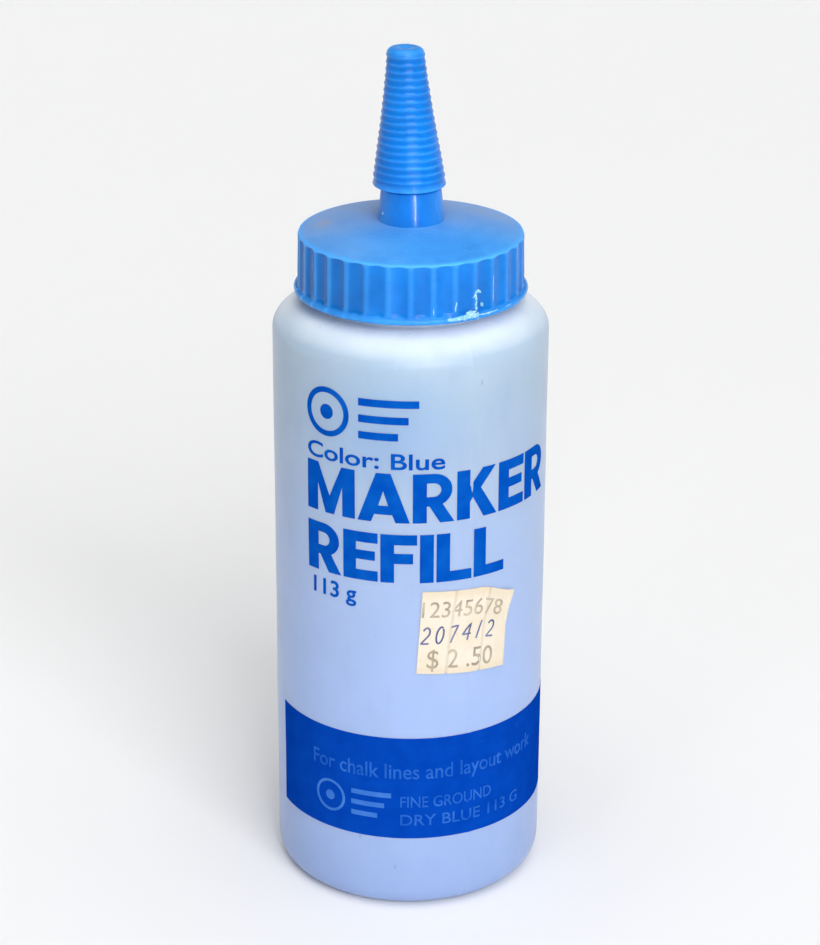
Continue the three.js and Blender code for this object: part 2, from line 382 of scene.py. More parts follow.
class Shader:
    """A node material in the making, or a sky. Most methods add nodes and return an output."""

    def __init__(self, name, kind="materials"):
        self.owner = getattr(bpy.data, kind).new(name)
        self.owner.use_nodes = True
        self.tree = self.owner.node_tree
        self.tree.nodes.clear()

    def add(self, kind, inputs, output=0, **settings):
        made = self.tree.nodes.new("ShaderNode" + kind)
        for key, value in settings.items():
            setattr(made, key, value)
        for key, value in inputs.items():
            socket = made.inputs[key]
            if isinstance(value, bpy.types.NodeSocket):
                self.tree.links.new(value, socket)
            else:
                socket.default_value = value
        return made.outputs[output]

    def place(self, stretch=(1, 1, 1)):
        """The point on the piece in millimetres, with each axis divided by its stretch."""
        where = self.add("TexCoord", {}, "Object")
        scale = [1 / (MM * part) for part in stretch]
        return self.add("VectorMath", {0: where, 1: scale}, operation="MULTIPLY")

    def noise(self, size, detail=2, stretch=(1, 1, 1), seed=0):
        """Soft noise with patches of that size in millimetres."""
        inputs = {"Vector": self.place(stretch), "W": seed, "Scale": 1 / size, "Detail": detail}
        return self.add("TexNoise", inputs, noise_dimensions="4D")

    def rings(self, size):
        """Soft noise that runs in rings round the object's axis."""
        out = self.add("VectorMath", {0: self.place(stretch=(1, 1, FAR))}, "Value", operation="LENGTH")
        return self.add("TexNoise", {"W": out, "Scale": 1 / size}, noise_dimensions="1D")

    def spot(self, center, size, stretch=(1, 1, 1)):
        """1 at a point in millimetres, fading to 0 at that distance."""
        inputs = {0: self.place(stretch), 1: [c / part for c, part in zip(center, stretch)]}
        return self.above(self.add("VectorMath", inputs, "Value", operation="DISTANCE"), size, 0)

    def above(self, value, low, high):
        """0 up to low, 1 from high, and in step between them. Low may be the larger."""
        return self.add("MapRange", {"Value": value, "From Min": low, "From Max": high})

    def from_to(self, share, low, high):
        """A number between low and high."""
        return self.add("MapRange", {"Value": share, "To Min": low, "To Max": high})

    def math(self, operation, a, b):
        return self.add("Math", {0: a, 1: b}, operation=operation)

    def plus(self, a, b):
        return self.math("ADD", a, b)

    def times(self, a, b):
        return self.math("MULTIPLY", a, b)

    def blend(self, share, a, b):
        """From colour a to colour b. A colour is a code or another node's output."""
        inputs = {"Fac": share}
        for key, value in (("Color1", a), ("Color2", b)):
            inputs[key] = color(value) if isinstance(value, str) else value
        return self.add("MixRGB", inputs)

    def painted(self, name):
        """A value stored by paint()."""
        return self.add("Attribute", {}, "Fac", attribute_name=name)

    def height(self):
        """The height in millimetres."""
        return self.add("SeparateXYZ", {0: self.place()}, "Z")

    def ramp(self, value, stops):
        """The colour at a value between stops of (value, code)."""
        low = stops[0][0]
        span = stops[-1][0] - low
        made = self.tree.nodes.new("ShaderNodeValToRGB")
        slots = made.color_ramp.elements
        while len(slots) < len(stops):
            slots.new(1)
        for slot, (at, code) in zip(slots, stops):
            slot.position = (at - low) / span
            slot.color = color(code)
        self.tree.links.new(self.above(value, low, low + span), made.inputs[0])
        return made.outputs[0]

    def finish(self, base, roughness, relief, depth, **extra):
        """Ends in one Principled surface, with a relief of that depth in millimetres."""
        normal = self.add("Bump", {"Height": relief, "Distance": depth * MM, "Strength": 1})
        inputs = {"Base Color": base, "Roughness": roughness, "Normal": normal}
        inputs.update({key.replace("_", " "): value for key, value in extra.items()})
        return self.end("Material", self.add("BsdfPrincipled", inputs))

    def end(self, kind, surface):
        output = self.tree.nodes.new("ShaderNodeOutput" + kind)
        self.tree.links.new(surface, output.inputs["Surface"])
        return self.owner


def milky_plastic():
    """Translucent white plastic that the blue powder tints from inside, dusty above its level, and whitest
    at the neck, partly as painted light.
    """
    s = Shader("milky_plastic")
    wander = s.times(s.math("SUBTRACT", s.noise(14, 3), 0.5), 14)
    level = s.plus(s.height(), wander)
    tint = s.ramp(level, [
        (0, "#8ba2d2"), (12, "#95abda"), (40, "#9db3e4"), (70, "#9fb4dc"),
        (86, "#a0b4d0"), (100, "#9fb4ca"), (107, "#a5b9cd"), (122, "#bcc9d4")])
    # Bare white plastic at the neck and shoulder, brightened past that as painted light in the shade under
    # the cap.
    tint = s.blend(s.above(s.height(), *BARE_AND_PAINTED_LIGHT_Z), tint, "#e6f1fe")
    veil = s.spot(around(-10, BODY_R, 94), 20, stretch=(0.8, 1, 0.7))
    tint = s.blend(s.times(veil, 0.7), tint, "#84a6d4")
    cloud = s.above(s.noise(9, 4), 0.42, 0.7)
    tint = s.blend(s.times(cloud, 0.16), tint, "#8aa2cc")
    smudge = s.above(s.noise(5, 5, stretch=(1, 1, 2.5), seed=3), 0.56, 0.72)
    tint = s.blend(s.times(smudge, 0.12), tint, "#7f92b2")
    specks = s.above(s.noise(0.8, 2, seed=7), 0.74, 0.78)
    for azimuth, z in NICKS:
        nick = s.spot(around(azimuth, BODY_R, z), 0.5, stretch=(0.6, 1, 1.4))
        specks = s.math("MAXIMUM", specks, nick)
    tint = s.blend(s.times(specks, 0.5), tint, "#5f7496")
    scuff = s.spot(around(27, BODY_R - 2.6, SHOULDER_Z + 3.2), 1, stretch=(0.35, 1, 1.2))
    tint = s.blend(s.times(scuff, 0.8), tint, "#d4dde8")
    scratches = s.above(s.noise(0.5, 3, stretch=(1, 1, 14), seed=5), 0.6, 0.75)
    rough = s.from_to(s.noise(6, 4), 0.24, 0.36)
    rough = s.plus(rough, s.times(scratches, 0.15))
    relief = s.plus(s.noise(3, 3), s.times(s.noise(0.35, 2), 0.06))
    return s.finish(
        tint, rough, relief, 0.05, Subsurface_Weight=0.35, Subsurface_Scale=0.004,
        Subsurface_Radius=(0.5, 0.7, 1.0), Specular_IOR_Level=0.32)


def cap_plastic(name, deep, bright, gloss, shine):
    """Moulded blue plastic, chalky where dust settles, paler along its ridges and edges for wear and for
    painted highlight, and darker on the left of the cap's side for painted shade.
    """
    s = Shader(name)
    base = s.blend(s.above(s.noise(7, 3), 0.35, 0.65), deep, bright)
    # Painted shade: a darker blue on the left of the cap's side, where less light falls.
    left_shade_centre = around(-58, SKIRT_TOP_R, CAP_Z + 4)
    painted_left_shade = s.times(s.spot(left_shade_centre, 16, stretch=(1, 1, 0.6)), 0.55)
    base = s.blend(painted_left_shade, base, "#083a74")
    patches = s.above(s.noise(6, 5, seed=2), 0.34, 0.62)
    swirl = s.above(s.rings(0.7), 0.35, 0.7)
    dust = s.painted("dust")
    cover = s.plus(s.from_to(patches, 0.55, 0.85), s.times(swirl, 0.2))
    film = s.times(s.above(dust, 0, 0.6), cover)
    base = s.blend(film, base, "#3c9cec")
    stale = s.times(s.above(dust, 0.5, 1.2), s.from_to(patches, 0.55, 1))
    base = s.blend(stale, base, "#8f9fc0")
    # Paler ridges, rims and bead: partly wear, partly painted highlight.
    wear_and_highlight = s.times(s.painted("wear_and_highlight"), s.from_to(s.noise(1.1, 4), 0.3, 1.1))
    base = s.blend(wear_and_highlight, base, "#48a8f8")
    grains = s.above(s.noise(0.45, 2, seed=4), 0.62, 0.72)
    base = s.blend(s.times(grains, s.times(film, 0.3)), base, "#a4c4e8")
    smear = s.times(s.spot((-15, 1.4, DOME_Z), 2.6, stretch=(1, 1.3, FAR)), patches)
    base = s.blend(s.times(smear, 0.7), base, "#a09c96")
    dot = s.spot(around(-60.7, SPOUT_FOOT_R - 0.15, DOME_Z + 1.8), 0.3)
    base = s.blend(s.above(dot, 0, 0.4), base, "#b8d4ea")
    rough = s.plus(s.from_to(s.noise(2.5, 4), gloss, gloss + 0.08), s.times(film, 0.45))
    relief = s.plus(s.noise(1.2, 3), s.times(s.noise(0.3, 2), 0.3))
    relief = s.plus(relief, s.times(swirl, s.times(film, 0.5)))
    return s.finish(
        base, rough, relief, 0.02, Subsurface_Weight=0.1, Subsurface_Scale=0.001,
        Subsurface_Radius=(0.2, 0.5, 1.0), Specular_IOR_Level=shine)


def chalk():
    """Loose blue chalk powder."""
    s = Shader("chalk")
    clumps = s.above(s.noise(1.6, 5), 0.35, 0.65)
    base = s.blend(clumps, "#2456c4", "#4478e4")
    relief = s.plus(s.noise(1.2, 5), s.noise(0.3, 3))
    return s.finish(base, 0.95, relief, 0.25, Specular_IOR_Level=0.1)


def foam():
    """Closed-cell foam with a little powder on it."""
    s = Shader("foam")
    cells = s.add("TexVoronoi", {"Vector": s.place(), "Scale": 2.2})
    dust = s.above(s.noise(4, 4), 0.5, 0.7)
    base = s.blend(s.times(dust, 0.5), "#e3e6ea", "#93b2ea")
    return s.finish(base, 0.8, cells, 0.05)


def paper():
    """Aged label paper: beige, foxed towards its edges, with painted shade in its creases."""
    s = Shader("paper")
    aged = s.above(s.noise(5, 4), 0.4, 0.68)
    base = s.blend(s.times(aged, 0.45), "#ded5c6", "#d6c6a8")
    base = s.blend(s.times(s.painted("edge"), 0.4), base, "#ceb994")
    # Painted shade along the sticker's creases.
    base = s.blend(s.times(s.painted("crease"), 0.3), base, "#a58e6a")
    fibres = s.noise(0.3, 4, stretch=(1, 1, 3))
    base = s.blend(s.times(s.above(fibres, 0.55, 0.7), 0.15), base, "#a8966f")
    return s.finish(base, s.from_to(s.noise(3, 3), 0.6, 0.8), fibres, 0.02, Specular_IOR_Level=0.3)


def ink(name, plain, thin, roughness=0.34):
    """Screen-printed ink, a little uneven, with pinholes."""
    s = Shader(name)
    base = s.blend(s.above(s.noise(3.5, 4), 0.38, 0.66), plain, thin)
    pinholes = s.above(s.noise(0.5, 2, seed=6), 0.72, 0.76)
    base = s.blend(s.times(pinholes, 0.5), base, "#4f7ac6")
    rough = s.from_to(s.noise(2, 3), roughness - 0.05, roughness + 0.08)
    return s.finish(base, rough, s.noise(0.8, 3), 0.012, Specular_IOR_Level=0)


def crusted_chalk():
    """Damp chalk that has dried in pale crumbs."""
    s = Shader("crusted_chalk")
    base = s.blend(s.above(s.noise(0.7, 4), 0.4, 0.62), "#7ab8d2", "#b2d8e2")
    return s.finish(base, 0.9, s.noise(0.4, 4), 0.06, Specular_IOR_Level=0.1)


def stage_paper():
    """The plain pale floor."""
    s = Shader("stage_paper")
    base = s.blend(s.noise(400, 2), "#eeeeee", "#f0f0f0")
    return s.finish(base, 0.9, s.noise(2, 2), 0.01, Specular_IOR_Level=0.1)


# The bottle's wall, which the print and the sticker follow.


def wall_radius(azimuth, z):
    """The radius of the blown wall, which wanders a little and has two parting lines."""
    direction = around(azimuth, 1, 0)
    wander = noise.noise(Vector((direction.x, direction.y, z / WAVE_SIZE)) * 1.6)
    return BODY_R + WAVE * wander + seam_stand(azimuth)


def seam_stand(azimuth):
    """How far a parting line stands proud there."""
    turn = (azimuth - SEAM) % 180
    across = BODY_R * math.radians(min(turn, 180 - turn))
    return SEAM_HEIGHT * math.exp(-((across / SEAM_WIDTH) ** 2))


def thread_stand(azimuth, z, top_z, first_turn, turns):
    """How far a screw thread stands out of its wall there."""
    stand = 0
    for lap in range(-2, 3):
        along = (90 - azimuth) / 360 + lap - first_turn
        if 0 < along < turns:
            fade = min(1, along / THREAD_FADE, (turns - along) / THREAD_FADE)
            off = abs(z - top_z + (first_turn + along) * PITCH)
            flank = (THREAD_FOOT / 2 - off) / ((THREAD_FOOT - THREAD_TOP) / 2)
            stand = max(stand, THREAD_HEIGHT * fade * clamp(flank))
    return stand


def seam_azimuths(count):
    """An even round, with closer steps over both parting lines."""
    close = [SEAM + side + step for side in (0, 180) for step in (-1.5, -0.8, -0.3, 0, 0.3, 0.8, 1.5)]
    spread = [a for a in even(count) if min(abs(a - c) for c in close) > 0.4]
    return sorted(spread + close)


def bottle_point(azimuth, radius, z):
    """Moves a point of the bottle's profile to where the real wall is."""
    if radius == NECK_R and z < RIM_Z:
        radius += thread_stand(azimuth, z, NECK_THREAD_Z, 0, NECK_THREAD_TURNS)
        radius += seam_stand(azimuth)
    elif radius > NECK_R + 1:
        radius += wall_radius(azimuth, z) - BODY_R
    return around(azimuth, radius, z)


def shoulder(inset, neck, steps):
    """The shoulder's quarter ellipse as far as a neck's radius, in by an inset all round."""
    centre = BODY_R - SHOULDER_WIDTH
    width = SHOULDER_WIDTH - inset
    end = math.degrees(math.acos((neck - centre) / width))
    return arc(centre, SHOULDER_Z, width, SHOULDER_RISE - inset, 0, end, steps)


def bottle():
    corner = BODY_R - FOOT_R
    lip = NECK_WALL / 2
    profile = [(0, PUSH_UP)]
    profile += line((4, PUSH_UP), (FOOT_INNER_R - FOOT_SLOPE, PUSH_UP), 4)
    profile += line((FOOT_INNER_R - 0.4, 0.25), (FOOT_INNER_R, 0), 1)
    profile += arc(FOOT_R, FOOT_RISE, corner, FOOT_RISE, -90, 0, 10)
    profile += line((BODY_R, FOOT_RISE + 2), (BODY_R, SHOULDER_Z - 1), 40)
    profile += shoulder(0, NECK_R + NECK_FILLET, 16)
    shoulder_top = profile[-1][1]
    profile += rounded(NECK_R + NECK_FILLET, shoulder_top + NECK_FILLET, NECK_FILLET, -80, -180, 4)
    profile += line((NECK_R, shoulder_top + 0.8), (NECK_R, RIM_Z - lip - 0.1), 30)
    profile += rounded(NECK_R - lip, RIM_Z - lip, lip, 0, 180, 8)
    profile += line((NECK_R - NECK_WALL, RIM_Z - 2), (NECK_R - NECK_WALL, shoulder_top), 3)
    profile += reversed(shoulder(WALL, NECK_R - NECK_WALL, 8))
    profile += line((BODY_R - WALL, SHOULDER_Z - 2), (BODY_R - WALL, FOOT_RISE + 2), 20)
    profile += arc(FOOT_R, FOOT_RISE, corner - WALL, FOOT_RISE - WALL, 0, -90, 6)
    profile += [(FOOT_INNER_R, WALL), (FOOT_INNER_R - FOOT_SLOPE, PUSH_UP + WALL), (0, PUSH_UP + WALL)]
    made = revolve("squeeze_bottle", profile, seam_azimuths(144), bottle_point)
    settle(made, "bottle", "milky_bottle", milky_plastic(), "bottle")


def powder():
    """The loose fill, with a lumpy top."""
    edge_r = POWDER_BOX[1].x
    low_z = POWDER_BOX[0].z
    heap = POWDER_BOX[1].z - POWDER_EDGE_Z

    def lumpy(azimuth, radius, z):
        place = around(azimuth, radius, z)
        if z >= POWDER_EDGE_Z:
            place.z += 0.5 * noise.noise(place / 4) - 0.3
        return place

    profile = [(0, low_z + PUSH_UP), (FOOT_INNER_R - FOOT_SLOPE, low_z + PUSH_UP), (FOOT_INNER_R, low_z)]
    profile += arc(FOOT_R - 0.3, FOOT_RISE, edge_r - FOOT_R + 0.3, FOOT_RISE - low_z, -90, 0, 4)
    profile += line((edge_r, 10), (edge_r, POWDER_EDGE_Z - 1), 8)
    top = line((edge_r - 0.3, 0), (0, heap), 24)
    profile += [(radius, POWDER_EDGE_Z + heap * smooth(rise / heap)) for radius, rise in top]
    made = revolve("chalk_fill", profile, even(96), lumpy)
    settle(made, "bottle", "blue_chalk", chalk(), "chalk_powder")


# The gasket and the caps.


def gasket():
    low, high = GASKET_BOX
    half = (high.z - low.z) / 2
    middle = (high.z + low.z) / 2
    profile = rounded(high.x - half, middle, half, -90, 90, 6)
    profile += rounded(GASKET_INNER_R + half, middle, half, 90, 270, 6)
    made = revolve("foam_gasket", profile, even(96))
    settle(made, "gasket", "white_foam", foam(), "cap_gasket")


def flute(azimuth):
    """How deep the nearest flute of the cap's grip is there, and how far its ends draw in."""
    pitch = 360 / RIBS
    across = SKIRT_FOOT_R * math.radians(azimuth % pitch - pitch / 2)
    half = math.sqrt(FLUTE_CUT_R ** 2 - (FLUTE_CUT_R - FLUTE_DEPTH) ** 2)
    if abs(across) >= half:
        return 0, FLUTE_ARCH
    hollow = math.sqrt(FLUTE_CUT_R ** 2 - across ** 2) - FLUTE_CUT_R + FLUTE_DEPTH
    return hollow, FLUTE_ARCH * (1 - math.sqrt(1 - (across / half) ** 2))


def flute_cut(azimuth, z):
    """How deep the grip is cut there."""
    hollow, arch = flute(azimuth)
    foot = smooth((z - FLUTE_FOOT_Z - arch) / FLUTE_RUN)
    top = smooth((FLUTE_TOP_Z - arch - z) / FLUTE_RUN)
    return hollow * foot * mix(FLUTE_TOP_SHARE, 1, top)


def cap_point(azimuth, radius, z):
    """Moves a point of the cap's profile: flutes outside, the thread inside."""
    if radius == CAP_INNER_R:
        top_z = NECK_THREAD_Z - PITCH / 2
        radius -= thread_stand(azimuth, z, top_z, -CAP_THREAD_LEAD, CAP_THREAD_TURNS)
    elif radius > CAP_INNER_R and z >= BEAD_TOP_Z:
        share = (z - BEAD_TOP_Z) / (CAP_EDGE_Z - BEAD_TOP_Z)
        skirt = mix(SKIRT_FOOT_R, SKIRT_TOP_R, share)
        radius = min(radius, skirt - flute_cut(azimuth, z))
    elif radius > CAP_INNER_R + 1:
        wobble = around(azimuth, 9, z)
        radius += 0.05 * noise.noise(wobble)
    return around(azimuth, radius, z)


def cap_outline():
    """The cap's outside, from its lower edge up over the dome and the spout to the nozzle."""
    half = (BEAD_TOP_Z - CAP_Z) / 2
    edge_r = SKIRT_TOP_R - CAP_EDGE_ROUND
    edge_z = CAP_EDGE_Z - CAP_EDGE_ROUND
    foot_r = SPOUT_FOOT_R + SPOUT_FILLET
    outline = rounded(BEAD_R - half, CAP_Z + half, half, -90, 75, 9)
    # The skirt's rows lie close together where the flutes begin and end.
    outline += line((SKIRT_FOOT_R, BEAD_TOP_Z), (SKIRT_FOOT_R - 0.04, BEAD_TOP_Z + 2.4), 8)
    outline += line((SKIRT_FOOT_R - 0.06, BEAD_TOP_Z + 3.4), (SKIRT_TOP_R, edge_z - 1.6), 5)
    outline += line((SKIRT_TOP_R, edge_z - 1.4), (SKIRT_TOP_R, edge_z), 7)
    outline += rounded(edge_r, edge_z, CAP_EDGE_ROUND, 12, 90, 8)
    for radius in spaced(edge_r - 0.2, foot_r, 18):
        share = (edge_r - radius) / (edge_r - foot_r)
        outline.append((radius, mix(CAP_EDGE_Z, DOME_Z, share * (1.6 - 0.6 * share))))
    outline += rounded(foot_r, DOME_Z + SPOUT_FILLET, SPOUT_FILLET, 250, 180, 4)
    outline += line((SPOUT_FOOT_R - 0.1, DOME_Z + 1.3), (SPOUT_TOP_R, SPOUT_TOP_Z - 0.4), 6)
    outline += rounded(SPOUT_TOP_R - SPOUT_ROUND, SPOUT_TOP_Z - SPOUT_ROUND, SPOUT_ROUND, 0, 90, 4)
    outline += rounded(NOZZLE_FOOT_R + SPOUT_ROUND, SPOUT_TOP_Z + SPOUT_ROUND, SPOUT_ROUND, 270, 180, 4)
    outline += line((NOZZLE_FOOT_R - 0.08, SPOUT_TOP_Z + 1), (NOZZLE_TOP_R + 0.05, NOZZLE_TOP_Z - 0.4), 10)
    outline += rounded(NOZZLE_TOP_R - SPOUT_ROUND, NOZZLE_TOP_Z - SPOUT_ROUND, SPOUT_ROUND, 0, 90, 4)
    return outline


def cap_inline():
    """The cap's inside, from the nozzle's hole down the bore to the lower edge."""
    ceiling_z = CAP_EDGE_Z - CAP_TOP_WALL
    inline = line((NOZZLE_BORE_TOP, NOZZLE_TOP_Z - 0.1), (NOZZLE_BORE_FOOT, SPOUT_TOP_Z + 1), 6)
    inline += line((SPOUT_BORE_TOP, SPOUT_TOP_Z - 1), (SPOUT_BORE_FOOT, DOME_Z - CAP_TOP_WALL), 3)
    inline += line((6, DOME_Z - CAP_TOP_WALL - 0.2), (CAP_CEILING_R, ceiling_z), 5)
    inline += [(CAP_INNER_R - 0.5, ceiling_z), (CAP_INNER_R - 0.1, ceiling_z - 0.1)]
    inline += line((CAP_INNER_R, ceiling_z - 0.5), (CAP_INNER_R, CAP_Z + 0.5), 36)
    inline += [(CAP_INNER_R + 0.3, CAP_Z + 0.1), (CAP_INNER_R + 0.6, CAP_Z)]
    return inline


def crest(azimuth):
    """1 along the crest of a rib of the cap, 0 in the flutes."""
    return 1 - clamp(flute(azimuth)[0] / (0.5 * FLUTE_DEPTH))


def cap_wear_and_highlight(place):
    """How much paler the cap's plastic is, for wear and for painted highlight: along the crests of the
    ribs, the top edge and the bead.
    """
    azimuth = azimuth_of(place)
    radius = math.hypot(place.x, place.y)
    if radius < CAP_INNER_R + 0.1:
        return 0
    if place.z < BEAD_TOP_Z + 0.1:
        return 0.6
    hollow, arch = flute(azimuth)
    lip = 1 - smooth((FLUTE_TOP_Z - arch - place.z) / FLUTE_RUN)
    rim = clamp((place.z - CAP_EDGE_Z + CAP_EDGE_ROUND) / 0.2)
    outer = SKIRT_TOP_R - max(FLUTE_TOP_SHARE * hollow, CAP_EDGE_ROUND) - 0.3
    edge = smooth((radius - outer) / 0.3)
    return max(0.35 * crest(azimuth), 0.5 * lip * edge, 1.1 * rim * edge)


def cap_dust(place):
    """How much chalk dust lies on the cap: over its top, hardly on its spout and sides."""
    radius = math.hypot(place.x, place.y)
    if place.z > DOME_Z + 0.1 or radius < SPOUT_FOOT_R:
        return 0.28 * smooth((abs(place.x) - 2) / 3.5)
    if place.z < CAP_EDGE_Z - 0.4:
        return 0.03 + smooth((-place.x - 4) / 16) * mix(0.02, 0.4, crest(azimuth_of(place)))
    back = smooth((place.y + 12) / 22)
    left = smooth((2 - place.x) / 16)
    return clamp(0.55 + 0.45 * back + 0.15 * left)


def spout_cap():
    profile = cap_outline() + cap_inline()
    azimuths = even(RIBS * SAMPLES_PER_RIB)
    made = revolve("ribbed_spout_cap", profile, azimuths, cap_point, sharp=50)
    paint(made, "wear_and_highlight", cap_wear_and_highlight)
    paint(made, "dust", cap_dust)
    plastic = cap_plastic("cap_plastic", "#0262b6", "#0573cc", 0.11, 0.2)
    settle(made, "cap", "blue_cap", plastic, "spout_cap")


def nozzle_bore(z):
    """The radius of the tip cap's hollow at a height."""
    share = clamp((z - SPOUT_TOP_Z) / (NOZZLE_TOP_Z - SPOUT_TOP_Z))
    return mix(NOZZLE_FOOT_R, NOZZLE_TOP_R, share) + TIP_CLEARANCE


def tip_point(azimuth, radius, z):
    """The tip cap's outside leans and is slightly uneven, and its hollow stays true."""
    if z <= TIP_CEILING_Z and radius <= nozzle_bore(z) + 0.01:
        return around(azimuth, radius, z)
    place = around(azimuth, radius, z)
    place *= 1 + 0.008 * noise.noise(place / 3) * clamp(radius)
    place.z = z + 0.04 * noise.noise(around(azimuth, radius, z) / 5)
    place.x += TIP_SHIFT + math.tan(TIP_LEAN) * (z - TIP_Z)
    return place


def ridge(z):
    """1 on the crest of one of the tip cap's ridges, 0 between them."""
    nearest = clamp(round((z - TIP_RIDGE_Z) / TIP_RIDGE_PITCH), 0, TIP_RIDGES - 1)
    off = z - TIP_RIDGE_Z - nearest * TIP_RIDGE_PITCH
    return math.exp(-((off / TIP_RIDGE_HALF) ** 2))


def tip_outline():
    """The tip cap's outside: a plain rim, a cone with soft ridges and a rounded top."""
    cone_z = TIP_Z + TIP_RIM_HEIGHT - 0.6
    round_z = TIP_TOP_Z - TIP_TOP_ROUND
    outline = arc(TIP_RIM_R - 0.45, TIP_Z + 0.35, 0.45, 0.35, -90, 0, 5)
    for z in spaced(cone_z, round_z - 0.05, TIP_RIDGES * ROWS_PER_RIDGE):
        share = clamp((round_z - z) / (round_z - TIP_Z - TIP_RIM_HEIGHT)) ** TIP_TAPER_POWER
        cone = mix(TIP_TOP_R, TIP_FOOT_R, share) - TIP_RIDGE_STAND / 2
        outline.append((cone + TIP_RIDGE_STAND * ridge(z), z))
    outline += rounded(TIP_TOP_R - TIP_TOP_ROUND, round_z, TIP_TOP_ROUND, 0, 90, 8)
    return outline + [(radius, TIP_TOP_Z - sink) for radius, sink in TIP_DIMPLE]


def tip_inline():
    """The hollow that fits the nozzle, with the pin that plugs its hole."""
    inline = [(0, PLUG_Z), (PLUG_R - 0.4, PLUG_Z), (PLUG_R, PLUG_Z + 0.45), (PLUG_R, TIP_CEILING_Z)]
    inline += [(NOZZLE_TOP_R, TIP_CEILING_Z)]
    return inline + [(nozzle_bore(z), z) for z in spaced(NOZZLE_TOP_Z, TIP_Z + 0.1, 12)]


def tip_wear_and_highlight(place):
    """Paler along its ridges, its lower edge and round the top, for wear and for painted highlight."""
    rim = 1 - smooth((place.z - TIP_Z - 0.25) / 0.3)
    top = smooth((place.z - TIP_TOP_Z + 1.3) / 0.8)
    return max(0.42 * ridge(place.z + 0.04), 0.9 * rim, 0.4 * top)


def tip_cap():
    profile = tip_inline() + tip_outline()
    made = revolve("ridged_tip_cap", profile, even(120), tip_point, sharp=60)
    paint(made, "wear_and_highlight", tip_wear_and_highlight)
    paint(made, "dust", lambda place: 0.02 + 0.25 * smooth((place.z - TIP_TOP_Z + 2) / 2))
    plastic = cap_plastic("tip_plastic", "#0060b8", "#006cc8", 0.12, 0.16)
    settle(made, "tip", "blue_tip", plastic, "tip_cap")


def crumbs(start, end, radius, width, rough):
    """A run of dried crumbs on the cap between two places, each an azimuth and a height."""
    length = math.hypot(BEAD_R * math.radians(end[0] - start[0]), end[1] - start[1])
    steps = max(6, round(length / 0.16))
    path = []
    widths = []
    outwards = []
    for i in range(steps + 1):
        share = i / steps
        azimuth = mix(start[0], end[0], share)
        outwards.append(around(azimuth, 1, 0))
        place = around(azimuth, radius, mix(start[1], end[1], share))
        wander = noise.noise_vector(place * 1.1) * width * rough
        path.append(place + wander)
        taper = math.sin(math.pi * mix(0.04, 0.96, share)) ** 0.35
        widths.append(width * taper * (1 + rough * 1.3 * noise.noise(place * 2.3)))
    points, faces = tube_mesh(path, widths, outwards, 0.75, 12)
    return [p + noise.noise_vector(p * 2.5) * width * 0.3 for p in points], faces


def crust():
    """Dried chalk along the cap's bead and up some of its ribs, to the right of the front."""
    parts = []
    for foot_z, on_face, runs in CRUST:
        for start, low, end, high, sink, width, rough in runs:
            places = ((start, foot_z + low), (end, foot_z + high))
            parts.append(crumbs(*places, on_face - sink, width, rough))
    made = joined("dried_chalk_crust", parts, sharp=60)
    settle(made, "cap", "blue_chalk", crusted_chalk())


# The print and the sticker. Flat art has its origin at its lower left, and is then bent round the wall.


def flat_curve(outlines):
    """Filled flat art from closed outlines, where an outline inside another is a hole."""
    art = bpy.data.curves.new("art", "CURVE")
    art.dimensions = "2D"
    art.fill_mode = "BOTH"
    for outline in outlines:
        spline = art.splines.new("POLY")
        spline.points.add(len(outline) - 1)
        for point, (x, y) in zip(spline.points, outline):
            point.co = (x, y, 0, 1)
        spline.use_cyclic_u = True
    return art


def flat_text(text, weight):
    """Filled flat art from a line of plain type, made heavier by weight."""
    art = bpy.data.curves.new("art", "FONT")
    art.body = text
    art.offset = weight
    return art


def sized(art, width, height):
    """The art's mesh, a unit thick, scaled to a width and to a height of its tallest letters."""
    art.extrude = 0.5
    holder = placed("art", art)
    bpy.context.view_layer.update()
    evaluated = holder.evaluated_get(bpy.context.evaluated_depsgraph_get())
    mesh = bpy.data.meshes.new_from_object(evaluated)
    bpy.data.objects.remove(holder)
    xs = [v.co.x for v in mesh.vertices]
    ys = [v.co.y for v in mesh.vertices]
    scale = (width / (max(xs) - min(xs)), height / max(ys), 1)
    mesh.transform(Matrix.Diagonal((*scale, 1)) @ Matrix.Translation((-min(xs), 0, 0)))
    return mesh


def on_wall(left, low_z):
    """Lays flat art on the wall from an azimuth and a height: gives azimuth, radius and height."""

    def place_at(x, y):
        azimuth = left + math.degrees(x / BODY_R)
        return azimuth, wall_radius(azimuth, low_z + y), low_z + y

    return place_at


def bent(mesh, place_at, sink=INK_SINK, stand=INK_STAND):
    """Points and faces of flat art bent to the face that place_at follows."""
    shell = bmesh.new()
    shell.from_mesh(mesh)
    bmesh.ops.remove_doubles(shell, verts=shell.verts, dist=1e-5)
    bmesh.ops.triangulate(shell, faces=shell.faces)
    width = max(v.co.x for v in shell.verts)
    for i in range(1, math.ceil(width / PRINT_STEP)):
        everything = list(shell.verts) + list(shell.edges) + list(shell.faces)
        cut = Vector((i * PRINT_STEP, 0, 0))
        bmesh.ops.bisect_plane(shell, geom=everything, dist=1e-6, plane_co=cut, plane_no=(1, 0, 0))
    points = []
    for vertex in shell.verts:
        azimuth, radius, z = place_at(vertex.co.x, vertex.co.y)
        points.append(around(azimuth, radius + (stand if vertex.co.z > 0 else -sink), z))
    faces = [[v.index for v in face.verts] for face in shell.faces]
    shell.free()
    return points, faces


def text_line(text, left, right, low_z, height, weight, **options):
    """A line of type from one azimuth to another."""
    width = BODY_R * math.radians(right - left)
    return bent(sized(flat_text(text, weight), width, height), on_wall(left, low_z), **options)


